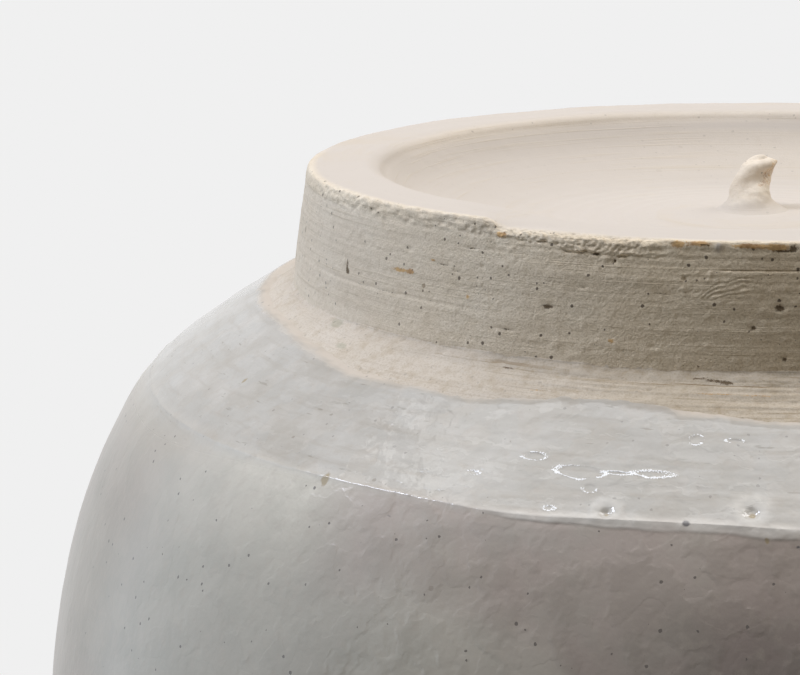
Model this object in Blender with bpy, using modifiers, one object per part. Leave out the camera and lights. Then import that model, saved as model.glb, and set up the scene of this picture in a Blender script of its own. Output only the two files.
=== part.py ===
"""Pottery bowl with a turned foot, standing on its lip with the foot up.

The clay wall, the foot ring, the slip that lutes the ring on, the peak of clay
at the centre of the foot and the three coats of glaze are separate solids, all
turned about the Z axis. Heights are measured from the table that the lip rests on.
"""

import math

import bpy
from mathutils import Vector
from mathutils.geometry import interpolate_bezier

# Overall form, in metres
HEIGHT = 0.0800
BELLY_RADIUS = 0.05565
BELLY_HEIGHT = 0.0294
LIP_TUCK = 0.00105
HIP_RADIUS = 0.04705
HIP_DROP = 0.0162

# Foot ring
FOOT_RADIUS = 0.0350
FOOT_FLARE = 0.0012
FOOT_HEIGHT = 0.0092
LAND_WIDTH = 0.0058
LAND_ROUND = 0.0005
LAND_EASE = 0.0007
RECESS_DEPTH = 0.0046
DISH_WIDTH = 0.0112
DISH_CURVE = 1.5
FLOOR_DOME = 0.0008
RING_LAP = 0.0016

# Clay thickness
WALL_THICKNESS = 0.0055
HIP_THICKNESS = 0.0075
BASE_THICKNESS = 0.0090
LIP_THICKNESS = 0.0042
LIP_ROUND = 0.0016

# Slip under and around the root of the ring
SLIP_FILM = 0.0005
COLLAR_RISE = 0.0012
COLLAR_REACH = 0.0029
COLLAR_EDGE = 0.00025

# Peak of clay left at the centre of the foot
PEAK_BELOW_LAND = 0.0005
PEAK_NECK = 0.0015
PEAK_SKIRT = 0.0016
PEAK_TIP = 0.0003
PEAK_LEAN = 0.0019
PEAK_KNOT = 0.2

# Glaze
GLAZE_THICKNESS = 0.0008
GLAZE_EDGE = 0.0003
GLAZE_FEATHER = 0.0040
HIP_ROLL = 0.0003
BARE_STRIP = 0.0007
LIP_BAND = 0.0070

# Clearance kept between pieces that touch
SEAM = 0.0003

# Shape of the curves: the wall's first slope under the hip and the pull of each handle
HIP_SLOPE = math.radians(59.5)
HIP_PULL = 0.0057
BELLY_PULL = 0.0228
INSIDE_PULL = 0.5
FLOOR_PULL = 0.9
FLOOR_FLAT = 0.5

# Facets
SEGMENTS = 48
WALL_STEPS = 7
NECK_STEPS = 3
INSIDE_STEPS = 5
FLOOR_STEPS = 5
DISH_STEPS = 4
DOME_STEPS = 3
ROUND_STEPS = 3
PEAK_STEPS = 9

# Levels and radii that follow from the sizes above
SEAT_Z = HEIGHT - FOOT_HEIGHT
RECESS_Z = HEIGHT - RECESS_DEPTH
HIP_Z = HEIGHT - HIP_DROP
DOME_Z = RECESS_Z + FLOOR_DOME
INSIDE_Z = RECESS_Z - BASE_THICKNESS
LIP_Z = GLAZE_THICKNESS + SEAM
BAND_Z = LIP_Z + LIP_BAND
LIP_RADIUS = BELLY_RADIUS - LIP_TUCK
ROOT_RADIUS = FOOT_RADIUS + FOOT_FLARE
LAND_INSIDE = FOOT_RADIUS - LAND_WIDTH
DISH_RADIUS = LAND_INSIDE - DISH_WIDTH
BORE_RADIUS = LAND_INSIDE - RING_LAP
PAD_RADIUS = BORE_RADIUS - SEAM
RING_Z = SEAT_Z + SLIP_FILM + 2 * SEAM


def point(radius, height):
    """A profile point: distance from the axis, then height."""
    return Vector((radius, height))


def curve(start, start_handle, end_handle, end, steps):
    """Points along one smooth curve, both ends included."""
    return interpolate_bezier(start, start_handle, end_handle, end, steps + 1)


def rounded(before, corner, after, size):
    """The corner of an outline eased over a distance of size along both sides."""
    start = corner + (before - corner).normalized() * size
    end = corner + (after - corner).normalized() * size
    return curve(start, (start + corner) / 2, (end + corner) / 2, end, ROUND_STEPS)


def side_radius(height):
    """Outside radius of the foot ring at a height: it flares towards its root."""
    share = (HEIGHT - height) / FOOT_HEIGHT
    return FOOT_RADIUS + FOOT_FLARE * share


def recess_point(radius):
    """A point of the recess in the foot: a low dome, then a dish that climbs to the land."""
    climb = max(radius - DISH_RADIUS, 0) / DISH_WIDTH
    dome = max(1 - (radius / DISH_RADIUS) ** 2, 0) ** 2
    return point(radius, RECESS_Z + FLOOR_DOME * dome + (RECESS_DEPTH - LAND_EASE) * climb ** DISH_CURVE)


def recess(start_radius, end_radius, steps):
    """Recess points from one radius to another, both ends included."""
    return [recess_point(start_radius + (end_radius - start_radius) * step / steps) for step in range(steps + 1)]


def shoulder_point(distance):
    """A point on the clay shoulder, at a distance down the slope from the root."""
    root = point(ROOT_RADIUS, SEAT_Z)
    hip = point(HIP_RADIUS, HIP_Z)
    return root + (hip - root).normalized() * distance


def outer_wall():
    """Clay outside from the hip to the top of the lip band."""
    hip = point(HIP_RADIUS, HIP_Z)
    belly = point(BELLY_RADIUS, BELLY_HEIGHT)
    band = point(LIP_RADIUS, BAND_Z)
    slope = point(math.cos(HIP_SLOPE), -math.sin(HIP_SLOPE))
    below_belly = (belly.y - band.y) * INSIDE_PULL
    upper = curve(hip, hip + slope * HIP_PULL, belly + point(0, BELLY_PULL), belly, WALL_STEPS)
    lower = curve(belly, belly - point(0, below_belly), band + point(0, below_belly / 2), band, NECK_STEPS)
    return upper + lower[1:]


def lip():
    """Clay round the lip, from the outside of the band to the inside of it."""
    outside = point(LIP_RADIUS, BAND_Z)
    inside = point(LIP_RADIUS - LIP_THICKNESS, BAND_Z)
    outer_corner = point(LIP_RADIUS, LIP_Z)
    inner_corner = point(LIP_RADIUS - LIP_THICKNESS, LIP_Z)
    turn_in = rounded(outside, outer_corner, inner_corner, LIP_ROUND)
    turn_up = rounded(outer_corner, inner_corner, inside, LIP_ROUND)
    return [outside] + turn_in + turn_up + [inside]


def inner_wall():
    """Clay inside from the lip band up the wall, round the hip and across the floor."""
    band = point(LIP_RADIUS - LIP_THICKNESS, BAND_Z)
    belly = point(BELLY_RADIUS - WALL_THICKNESS, BELLY_HEIGHT)
    inward = point(-math.sqrt(0.5), -math.sqrt(0.5))
    upward = point(-math.sqrt(0.5), math.sqrt(0.5))
    hip = point(HIP_RADIUS, HIP_Z) + inward * HIP_THICKNESS
    centre = point(0, INSIDE_Z)
    rise = (belly.y - band.y) * INSIDE_PULL
    climb = (hip.y - belly.y) * INSIDE_PULL
    turn = (INSIDE_Z - hip.y) * FLOOR_PULL / upward.y
    floor_handle = point(hip.x * FLOOR_FLAT, INSIDE_Z)
    neck = curve(band, band + point(0, rise / 2), belly - point(0, rise), belly, NECK_STEPS)
    wall = curve(belly, belly + point(0, climb), hip - upward * climb / 2, hip, INSIDE_STEPS)
    floor = curve(hip, hip + upward * turn, floor_handle, centre, FLOOR_STEPS)
    return neck + wall[1:] + floor[1:]


def offset(chain, distances):
    """The chain moved away from the clay, each point by its own distance."""
    moved = []
    for index, here in enumerate(chain):
        before = chain[max(index - 1, 0)]
        after = chain[min(index + 1, len(chain) - 1)]
        arriving = (here - before).normalized()
        leaving = (after - here).normalized()
        if index == 0:
            arriving = leaving
        if index == len(chain) - 1:
            leaving = arriving
        along = (arriving + leaving).normalized()
        away = point(-along.y, along.x)
        mitre = along.dot(leaving)
        moved.append(here + away * distances[index] / mitre)
    return moved


def shortened(chain, start_cut, end_cut):
    """The chain with a little taken off each end."""
    first = chain[0] + (chain[1] - chain[0]).normalized() * start_cut
    last = chain[-1] + (chain[-2] - chain[-1]).normalized() * end_cut
    return [first] + chain[1:-1] + [last]


def coat(chain, thickness):
    """Free face and clay face of a coat of glaze on the chain."""
    free_face = offset(chain, [SEAM + depth for depth in thickness])
    clay_face = offset(chain, [SEAM] * len(chain))
    return free_face, clay_face


def finish(name, colour, roughness):
    """A plain Principled finish for one piece."""
    material = bpy.data.materials.new(name)
    material.use_nodes = True
    shader = material.node_tree.nodes["Principled BSDF"]
    shader.inputs["Base Color"].default_value = (*colour, 1.0)
    shader.inputs["Roughness"].default_value = roughness
    shader.inputs["Metallic"].default_value = 0.0
    return material


def turned(name, profile, material, closed):
    """One piece turned about the Z axis from a profile of (radius, height) points."""
    mesh = bpy.data.meshes.new(name)
    vertices = [(place.x, 0.0, place.y) for place in profile]
    edges = [(index, index + 1) for index in range(len(profile) - 1)]
    if closed:
        edges.append((len(profile) - 1, 0))
    mesh.from_pydata(vertices, edges, [])
    mesh.materials.append(material)
    piece = bpy.data.objects.new(name, mesh)
    screw = piece.modifiers.new("Turn", "SCREW")
    screw.axis = "Z"
    screw.angle = math.tau
    screw.steps = SEGMENTS
    screw.render_steps = SEGMENTS
    screw.use_merge_vertices = True
    screw.merge_threshold = 0.00001
    screw.use_smooth_shade = True
    return piece


def make_thrown_bowl(material):
    """Clay wall, with the raised pad inside the foot and the seat for the ring."""
    dome = recess(0, DISH_RADIUS, DOME_STEPS)
    dish = recess(DISH_RADIUS, PAD_RADIUS, DISH_STEPS)
    seat = [point(PAD_RADIUS, SEAT_Z), point(ROOT_RADIUS, SEAT_Z)]
    profile = dome + dish[1:] + seat + outer_wall() + lip()[1:] + inner_wall()[1:]
    return turned("thrown_bowl", profile, material, closed=False)


def make_foot_ring(material):
    """Foot ring round the pad, with a flat land and an inside that goes on up the dish."""
    land_inside = point(LAND_INSIDE, HEIGHT)
    land_outside = point(FOOT_RADIUS, HEIGHT)
    root = point(side_radius(RING_Z), RING_Z)
    bore_bottom = point(BORE_RADIUS, RING_Z)
    dish = recess(BORE_RADIUS, LAND_INSIDE, ROUND_STEPS)
    land = [land_inside + point(LAND_EASE, 0)]
    edge = rounded(land_inside, land_outside, root, LAND_ROUND)
    return turned("foot_ring", land + edge + [root, bore_bottom] + dish, material, closed=True)


def make_luting_slip(material):
    """Slip pressed out from under the ring into a pale collar round its root."""
    film_z = SEAT_Z + SEAM + SLIP_FILM
    collar_z = RING_Z + COLLAR_RISE
    collar_top = point(side_radius(collar_z) + SEAM, collar_z)
    collar_rim = collar_top + point(COLLAR_EDGE, 0)
    bed = [shoulder_point(COLLAR_REACH), point(ROOT_RADIUS, SEAT_Z), point(BORE_RADIUS, SEAT_Z)]
    underside = offset(bed, [-SEAM] * len(bed))
    toe = offset(bed, [-SEAM - COLLAR_EDGE] * len(bed))[0]
    crook = point(collar_rim.x, film_z)
    sweep = curve(collar_rim, (collar_rim + crook) / 2, (toe + crook) / 2, toe, ROUND_STEPS)
    film_inside = point(BORE_RADIUS, film_z)
    film_outside = point(side_radius(film_z) + SEAM, film_z)
    profile = [collar_top] + sweep + underside + [film_inside, film_outside]
    return turned("luting_slip", profile, material, closed=True)


def make_foot_peak(material):
    """Twist of clay at the centre of the foot: a knotted stub that leans to +X."""
    height = HEIGHT - PEAK_BELOW_LAND - DOME_Z - SEAM
    data = bpy.data.curves.new("foot_peak", "CURVE")
    data.dimensions = "3D"
    data.bevel_depth = PEAK_NECK
    data.bevel_resolution = 3
    data.use_fill_caps = True
    spline = data.splines.new("POLY")
    spline.points.add(PEAK_STEPS - 1)
    for index, place in enumerate(spline.points):
        share = index / (PEAK_STEPS - 1)
        lean = PEAK_LEAN * share ** 2
        skirt = PEAK_SKIRT * (1 - share) ** 3
        knots = 1 + PEAK_KNOT * math.sin(3 * math.pi * share)
        stub = PEAK_NECK * (1 - share ** 4) * knots
        place.co = (lean, 0.0, height * share, 1.0)
        place.radius = (PEAK_TIP + skirt + stub) / PEAK_NECK
    data.materials.append(material)
    piece = bpy.data.objects.new("foot_peak", data)
    piece.location = (0.0, 0.0, DOME_Z + SEAM)
    return piece


def make_outer_glaze(material):
    """Glaze outside, feathered out below the foot and rolled thicker over the hip."""
    start = COLLAR_REACH + BARE_STRIP
    shoulder = [shoulder_point(start), shoulder_point(start + GLAZE_FEATHER)]
    chain = shortened(shoulder + outer_wall(), 0, SEAM / 2)
    thickness = [GLAZE_THICKNESS] * len(chain)
    thickness[0] = GLAZE_EDGE
    thickness[len(shoulder)] += HIP_ROLL
    free_face, clay_face = coat(chain, thickness)
    return turned("outer_glaze", free_face + clay_face[::-1], material, closed=True)


def make_lip_glaze(material):
    """Band of glaze that wraps the lip, outside and in."""
    chain = shortened(lip(), SEAM / 2, SEAM / 2)
    free_face, clay_face = coat(chain, [GLAZE_THICKNESS] * len(chain))
    return turned("lip_glaze", free_face + clay_face[::-1], material, closed=True)


def make_inner_glaze(material):
    """Glaze that lines the bowl, from the lip band to the middle of the floor."""
    chain = shortened(inner_wall(), SEAM / 2, 0)
    free_face, clay_face = coat(chain, [GLAZE_THICKNESS] * len(chain))
    for face in (free_face, clay_face):
        face[-1].x = 0.0
    return turned("inner_glaze", clay_face[::-1] + free_face, material, closed=False)


def main():
    for old in list(bpy.data.objects):
        bpy.data.objects.remove(old, do_unlink=True)
    clay = finish("sandy_stoneware", (0.74, 0.68, 0.61), 0.9)
    slip = finish("pale_slip", (0.67, 0.61, 0.53), 0.85)
    glaze = finish("milky_glaze", (0.53, 0.51, 0.48), 0.2)
    pieces = [
        make_thrown_bowl(clay),
        make_foot_ring(clay),
        make_luting_slip(slip),
        make_foot_peak(clay),
        make_outer_glaze(glaze),
        make_lip_glaze(glaze),
        make_inner_glaze(glaze),
    ]
    collection = bpy.data.collections.new("pottery_bowl")
    bpy.context.scene.collection.children.link(collection)
    wheel = bpy.data.objects.new("wheel_axis", None)
    collection.objects.link(wheel)
    for piece in pieces:
        collection.objects.link(piece)
        piece.parent = wheel


main()
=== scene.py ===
# %% [markdown]
# # A stoneware bowl, upside down, seen close to its foot
# The bowl was thrown on a wheel, given a foot ring, dipped in a milky glaze and fired. Its parts are
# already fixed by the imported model, so this lesson only dresses them: every piece below stands where a
# solid of the frame stands. Blender's lengths are in metres, and MM turns a size in millimetres into
# metres.

# %% Load the frame
import math

import bpy
import numpy as np
from mathutils import Matrix, Vector, noise
from mathutils.geometry import interpolate_bezier


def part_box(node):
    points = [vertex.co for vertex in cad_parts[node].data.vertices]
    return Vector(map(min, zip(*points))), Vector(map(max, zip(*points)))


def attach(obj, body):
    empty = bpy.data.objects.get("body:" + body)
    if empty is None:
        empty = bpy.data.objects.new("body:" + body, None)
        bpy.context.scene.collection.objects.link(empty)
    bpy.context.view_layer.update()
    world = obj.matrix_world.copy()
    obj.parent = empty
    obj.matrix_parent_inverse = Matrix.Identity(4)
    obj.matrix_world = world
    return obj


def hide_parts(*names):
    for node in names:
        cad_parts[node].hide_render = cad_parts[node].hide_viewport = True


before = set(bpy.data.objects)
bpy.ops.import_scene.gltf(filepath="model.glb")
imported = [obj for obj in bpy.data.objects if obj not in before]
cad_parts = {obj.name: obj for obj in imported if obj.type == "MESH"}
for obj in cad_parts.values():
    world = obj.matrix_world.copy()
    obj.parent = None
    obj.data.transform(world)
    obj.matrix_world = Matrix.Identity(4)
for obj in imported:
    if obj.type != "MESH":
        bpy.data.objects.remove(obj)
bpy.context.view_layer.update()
MM = 0.001
print("frame nodes:", ", ".join(sorted(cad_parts)))

# %% [markdown]
# ## The camera
# The photograph is a close view from a little above the foot, with the axis of the bowl near the right
# edge. The eye is about 200 mm from the middle of the foot. A long lens on a 36 mm sensor gives that crop,
# so no shift is needed. The turns below are small: they point the lens to the left of the axis and down the
# wall.

# %% Camera
PHOTO_WIDTH = 800
FOCAL_PIXELS = 2488.4
SENSOR = 36.0
EYE_DISTANCE = 198.05 * MM
EYE_HEIGHT_ANGLE = math.radians(8.356)
EYE_YAW = math.radians(-7.981)
EYE_PITCH = math.radians(-4.081)
EYE_ROLL = math.radians(0.317)


def swung(first, second, angle):
    """Two square directions swung by an angle in their own plane."""
    return (first * math.cos(angle) - second * math.sin(angle),
            second * math.cos(angle) + first * math.sin(angle))


_, foot_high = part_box("foot_ring")
LAND_Z = foot_high.z
land_middle = Vector((0, 0, LAND_Z))
eye = land_middle + EYE_DISTANCE * Vector((0, -math.cos(EYE_HEIGHT_ANGLE), math.sin(EYE_HEIGHT_ANGLE)))
ahead = (land_middle - eye).normalized()
right = Vector((1, 0, 0))
above = right.cross(ahead)
right, ahead = swung(right, ahead, EYE_YAW)
above, ahead = swung(above, ahead, EYE_PITCH)
right, above = swung(right, above, -EYE_ROLL)

lens = bpy.data.cameras.new("photo_lens")
lens.sensor_fit = "HORIZONTAL"
lens.sensor_width = SENSOR
lens.lens = FOCAL_PIXELS / PHOTO_WIDTH * SENSOR
lens.clip_start = 10 * MM
camera = bpy.data.objects.new("photo_camera", lens)
bpy.context.scene.collection.objects.link(camera)
turn = Matrix((right, above, -ahead)).transposed()
camera.matrix_world = Matrix.Translation(eye) @ turn.to_4x4()
bpy.context.scene.camera = camera
print("camera: lens %.1f mm, eye at %s mm" % (lens.lens, [round(c / MM, 1) for c in eye]))

# %% [markdown]
# ## Drawing a turned outline
# A pot is its outline turned round the wheel's axis. One vertex is drawn out along the outline, and a Screw
# modifier turns the line once round, as the wheel does. The Spin tool would give the same mesh, only much
# more slowly at this spacing. The outline is made of smooth curves, read off evenly so that the surface can
# carry fine marks.

# %% Turning helpers
WELD = 0.001 * MM


def at(radius, height):
    """A point of an outline: millimetres from the axis, then millimetres above the lip."""
    return Vector((radius, height)) * MM


def bend(start, start_handle, end_handle, end, spacing):
    """Points along one smooth curve, about spacing apart, without the last one."""
    rough = interpolate_bezier(start, start_handle, end_handle, end, 16)
    length = sum((b - a).length for a, b in zip(rough, rough[1:]))
    count = max(1, round(length / spacing))
    return interpolate_bezier(start, start_handle, end_handle, end, count + 1)[:-1]


def line(start, end, spacing):
    """Points along a straight stretch, about spacing apart, without the last one."""
    return bend(start, start.lerp(end, 1 / 3), start.lerp(end, 2 / 3), end, spacing)


def turned_piece(name, outline, turns):
    """One piece: a vertex drawn out along the outline, then turned once round the wheel's axis."""
    bpy.ops.object.select_all(action="DESELECT")
    bpy.ops.mesh.primitive_plane_add(size=MM)
    piece = bpy.context.object
    piece.name = name
    bpy.ops.object.mode_set(mode="EDIT")
    bpy.ops.mesh.select_all(action="SELECT")
    bpy.ops.mesh.merge(type="CENTER")
    bpy.ops.transform.translate(value=(outline[0].x, 0, outline[0].y))
    for before, after in zip(outline, outline[1:]):
        step = (after.x - before.x, 0, after.y - before.y)
        bpy.ops.mesh.extrude_region_move(TRANSFORM_OT_translate={"value": step})
    bpy.ops.object.mode_set(mode="OBJECT")
    wheel = piece.modifiers.new("Wheel", "SCREW")
    wheel.axis = "Z"
    wheel.angle = math.tau
    wheel.steps = turns
    wheel.render_steps = turns
    wheel.use_merge_vertices = True
    wheel.merge_threshold = WELD
    bpy.ops.object.modifier_apply(modifier="Wheel")
    bpy.ops.object.mode_set(mode="EDIT")
    bpy.ops.mesh.select_all(action="SELECT")
    bpy.ops.mesh.remove_doubles(threshold=WELD)
    bpy.ops.mesh.normals_make_consistent(inside=False)
    bpy.ops.object.mode_set(mode="OBJECT")
    bpy.ops.object.shade_smooth()
    print("%s: %d vertices from an outline of %d points" % (name, len(piece.data.vertices), len(outline)))
    return piece


print("a straight 10 mm at 2 mm spacing: %d points" % len(line(at(0, 0), at(10, 0), 2 * MM)))

# %% [markdown]
# ## Working a surface by hand
# The even roughness of clay could come from a Displace modifier, but this bowl's marks have places of their
# own: a groove here, a torn edge there. So each vertex is moved along its normal by a depth worked out from
# its place, the way a sculpting stroke moves it. Places are an angle round the axis, a radius and a height.
# At -90 degrees a mark faces the viewer, and at -180 it is on the left. Where the eye comes close, the mesh
# is first subdivided, so that small marks get vertices of their own.

# %% Surface helpers
def places_of(piece):
    """Where every vertex is: the x, y, z array, then angle in degrees, radius and height in millimetres."""
    count = len(piece.data.vertices)
    spots = np.empty(count * 3, np.float32)
    piece.data.vertices.foreach_get("co", spots)
    spots = spots.reshape(-1, 3).astype(float) / MM
    angle = np.degrees(np.arctan2(spots[:, 1], spots[:, 0]))
    return spots, angle, np.hypot(spots[:, 0], spots[:, 1]), spots[:, 2]


def finer(piece, chosen):
    """Subdivide the faces whose vertices are all chosen, then read the places again."""
    mesh = piece.data
    corners = np.empty(len(mesh.loops), np.int32)
    mesh.loops.foreach_get("vertex_index", corners)
    starts = np.empty(len(mesh.polygons), np.int32)
    mesh.polygons.foreach_get("loop_start", starts)
    picked = np.logical_and.reduceat(chosen[corners], starts)
    bpy.context.view_layer.objects.active = piece
    bpy.context.tool_settings.mesh_select_mode = (False, False, True)
    bpy.ops.object.mode_set(mode="EDIT")
    bpy.ops.mesh.select_all(action="DESELECT")
    bpy.ops.object.mode_set(mode="OBJECT")
    mesh.polygons.foreach_set("select", picked)
    bpy.ops.object.mode_set(mode="EDIT")
    bpy.ops.mesh.subdivide(number_cuts=1)
    bpy.ops.object.mode_set(mode="OBJECT")
    bpy.context.tool_settings.mesh_select_mode = (True, False, False)
    print("%s: %d faces made finer, now %d" % (piece.name, picked.sum(), len(piece.data.polygons)))
    return places_of(piece)


print("surfaces: places are in millimetres and degrees")

# %% [markdown]
# A mark starts as a mask, a number from 0 to 1 that says where it lies. An S curve blends one side into the
# other, a span is a stretch with soft ends, and a ridge is a line with a rounded top. Noise makes all of
# them uneven.

# %% Masks
def grain(spots, size):
    """Smooth noise from -1 to 1 at every spot. size is the grain in millimetres, or one size per axis."""
    return np.array([noise.noise(spot) for spot in (spots / np.array(size)).tolist()])


def smooth(low, high, value):
    """0 below low, 1 above high and an S curve between, as a sander blends."""
    share = np.clip((value - low) / (high - low), 0, 1)
    return share * share * (3 - 2 * share)


def span(value, start, full, fade, end):
    """0 before start, 1 from full to fade and 0 again after end."""
    return smooth(start, full, value) * (1 - smooth(fade, end, value))


def around(angle, middle):
    """Signed angle from middle, in degrees, the short way round."""
    return (angle - middle + 180) % 360 - 180


def near(angle, middle, reach):
    """Whether an angle lies within reach of the middle, in degrees."""
    return np.abs(around(angle, middle)) < reach


def ridge(value, middle, half_width):
    """1 along a level line and 0 beyond its half width, with a rounded top."""
    return np.exp(-((value - middle) / half_width) ** 2)


print("half way up an S curve: %.2f" % smooth(0, 1, 0.5))

# %% [markdown]
# ## The foot ring
# The ring is the part that the eye comes closest to: bare clay with grit in it, cut with a tool while the
# wheel turned. The tool left a groove part of the way round, a finer line above it and a torn, crumbling
# edge on the land. Inside, the ring runs down into the dished floor. Ring and floor follow one curve there,
# so that no seam shows. Marks of the front fade out between the angles of RIGHT_FADE or BACK_FADE, round
# the side or at the back.

# %% Foot ring
ROOT = 36.2
SEAT_Z = 70.9
RECESS_LOW = 75.4
SEAM_RADIUS = 24.8
LAND_TOP = LAND_Z / MM
FINE = 0.20 * MM
MEDIUM = 0.45 * MM
COARSE = 2.0 * MM
FOOT_TURNS = 600
FRONT_ANGLE = -112
RIGHT_FADE = (-40, 0)
BACK_FADE = (60, 120)

dish = bend(at(17.0, RECESS_LOW), at(22.0, RECESS_LOW), at(26.6, 77.6), at(28.9, 79.3), MEDIUM)
cove = [point for point in dish if point.x > (SEAM_RADIUS - 0.8) * MM]
land = bend(at(28.9, 79.3), at(29.2, 79.75), at(29.6, 79.98), at(30.4, LAND_TOP), FINE)
land += line(at(30.4, LAND_TOP), at(34.45, LAND_TOP), MEDIUM)
edge = bend(at(34.45, LAND_TOP), at(34.72, LAND_TOP), at(34.84, 79.9), at(34.9, 79.5), FINE)
side = bend(at(34.9, 79.5), at(35.32, 77.3), at(35.62, 75.0), at(36.15, 71.0), FINE)
hidden = line(at(36.15, 71.0), at(ROOT, SEAT_Z), COARSE)
hidden += line(at(ROOT, SEAT_Z), at(27.6, SEAT_Z), COARSE)
hidden += line(at(27.6, SEAT_Z), at(27.6, 74.9), COARSE) + [at(27.6, 74.9), at(24.6, 76.3), cove[0]]
foot_ring = turned_piece("turned_foot_ring", cove + land + edge + side + hidden, FOOT_TURNS)
spots, angle, radius, height = places_of(foot_ring)
front = near(angle, FRONT_ANGLE, 53) & (radius > 33.2) & (height > 71.0)
spots, angle, radius, height = finer(foot_ring, front)
torn_part = near(angle, -110.5, 12) & (radius > 34.2) & (height > 77.9)
line_part = near(angle, -87, 11) & (height > 76.2) & (height < 78.4) & (radius > 34.2)
spots, angle, radius, height = finer(foot_ring, torn_part | line_part)

# %% [markdown]
# The land was shaved down a little along the front, so it is lifted everywhere else. Then come the marks of
# the whole turn: slow unevenness, faint tool lines, grit that was dragged up and sand that stands out.

# %% Foot ring: shaved land, tool lines and grit
def raise_up(piece, rise):
    """Move every vertex straight up by its rise in millimetres."""
    mesh = piece.data
    spots = np.empty(len(mesh.vertices) * 3, np.float32)
    mesh.vertices.foreach_get("co", spots)
    spots.reshape(-1, 3)[:, 2] += (rise * MM).astype(np.float32)
    mesh.vertices.foreach_set("co", spots)
    mesh.update()


LAND_RISE = 0.42
LAND_CUT = 0.12
step_spread = 10 * (1 - smooth(31.5, 34.6, radius))
shaved = span(angle, -121.3 - step_spread, -118.6 + step_spread, *RIGHT_FADE)
raise_up(foot_ring, (LAND_RISE * (1 - shaved) - LAND_CUT * shaved) * smooth(77.5, 79.4, height))
spots, angle, radius, height = places_of(foot_ring)
on_side = smooth(34.6, 35.0, radius) * (1 - smooth(79.2, 79.7, height))
in_recess = 1 - smooth(28.2, 29.4, radius)


def recess_painted_light(spots):
    """Painted light and shade of the recess: paler on the left, darker at the far side, on ring and floor
    alike.
    """
    return 0.04 - 0.04 * smooth(-24, 0, spots[:, 0]) - 0.055 * smooth(-14, 6, spots[:, 1])


def recess_relief(spots, angle, radius):
    """Faint spiral and soft unevenness of the recess, on ring and floor alike."""
    spiral = 0.035 * np.sin(math.tau * (radius / 1.9 + angle / 360)) * smooth(4, 9, radius)
    return spiral * (1 - smooth(18, 23, radius)) + 0.05 * grain(spots, 5.0) + 0.02 * grain(spots, 1.1)


along_turn = np.column_stack((spots[:, 0], spots[:, 1], height - radius))
tool_lines = 0.022 * grain(along_turn, (16, 16, 0.35)) + 0.03 * grain(along_turn, (26, 26, 0.9))
grit = 0.010 * grain(spots, 0.7) + 0.015 * grain(spots + 8, 0.32)
sand = 0.11 * np.clip(grain(spots + 40, 0.6) - 0.30, 0, 1)
chatter = 0.10 * grain(spots, 9.0) + 0.05 * grain(spots, 3.5) + tool_lines
depth = (chatter + (grit + sand) * (0.35 + 0.65 * on_side)) * (1 - in_recess)
seam_dip = 0.03 * (1 - smooth(-0.5, 0.5, radius - SEAM_RADIUS))
depth += in_recess * recess_relief(spots, angle, radius) - seam_dip
print("land lifted by %.2f mm, shaved by %.2f mm" % (LAND_RISE, LAND_CUT))

# %% [markdown]
# Next the marks that have places: two tool grooves, a bundle of small folds where the tool dragged the
# clay, short scratches and pits where grit fell out.

# %% Foot ring: grooves, folds, scratches and pits
def spot_mask(angle, radius, height, mark):
    """1 at the middle of an oval mark and 0 outside it. A mark is angle, height, half width, half height."""
    middle, level, half_width, half_height = mark
    across = np.radians(around(angle, middle)) * radius / half_width
    upward = (height - level) / half_height
    return np.exp(-1.5 * (across ** 2 + upward ** 2))


def marks_mask(angle, radius, height, marks):
    """The oval marks of a list together, never over 1."""
    return np.minimum(sum(spot_mask(angle, radius, height, mark) for mark in marks), 1)


groove_run = span(angle, -156, -144, -128, -108)
groove = groove_run * on_side * ridge(height, 74.3 + 0.10 * grain(spots, 6.0), 0.08)
upper_run = span(angle, -93.3, -92.6, -40, -25)
upper_line = upper_run * on_side * ridge(height, 78.0, 0.055)
depth -= 0.045 * groove + 0.06 * upper_line
depth += 0.015 * on_side * upper_run * ridge(height, 77.8, 0.09)

across = np.radians(around(angle, -92.5)) * radius
under_fold = height - 77.65 + 0.35 * np.exp(-across / 1.35)
fold_part = span(under_fold, -1.2, -0.7, 0.05, 0.15)
fold_part *= span(across, -2.8, -1.9, 0.8, 2.4)
fold_part *= 0.5 + smooth(-0.3, 0.3, grain(spots + 12, 0.8))
depth += 0.02 * on_side * fold_part * np.sin(math.tau * under_fold / 0.30 + 4.0 * grain(spots, 0.7))

SCRATCHES = [(-122.4, 78.3, 0.6, 0.07), (-126.4, 76.9, 0.7, 0.07), (-99.2, 76.35, 0.7, 0.07),
             (-124.3, 76.6, 0.5, 0.06), (-108.0, 76.5, 0.4, 0.06), (-113.5, 72.4, 1.2, 0.07),
             (-88.0, 74.9, 0.8, 0.06), (-117.0, 73.2, 0.9, 0.06)]
PITS = [(-112, 75.0, 0.55, 0.24), (-86.7, 75.6, 0.48, 0.34), (-89.5, 74.3, 0.30, 0.22),
        (-86.2, 72.3, 0.28, 0.22), (-100, 72.9, 0.30, 0.16), (-94, 75.5, 0.16, 0.14),
        (-106.7, 78.72, 0.45, 0.15), (-104.5, 78.35, 0.16, 0.24), (-85.3, 79.45, 0.36, 0.28),
        (-120.6, 77.2, 0.3, 0.2), (-96.8, 77.4, 0.2, 0.2), (-132, 77.6, 0.3, 0.2)]
scratches = marks_mask(angle, radius, height, SCRATCHES)
pits = marks_mask(angle, radius, height, PITS) * (1 + 0.5 * grain(spots + 30, 0.35))
depth -= 0.08 * scratches + 0.10 * pits
print("ring marks: %d scratches, %d pits" % (len(SCRATCHES), len(PITS)))

# %% [markdown]
# The rim of the land is bitten on the left. In the middle it crumbles into a band of lumps with a crack
# under it. The depths of all marks are added up first and moved at once, so that no mark tilts the normals
# of the next.

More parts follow.
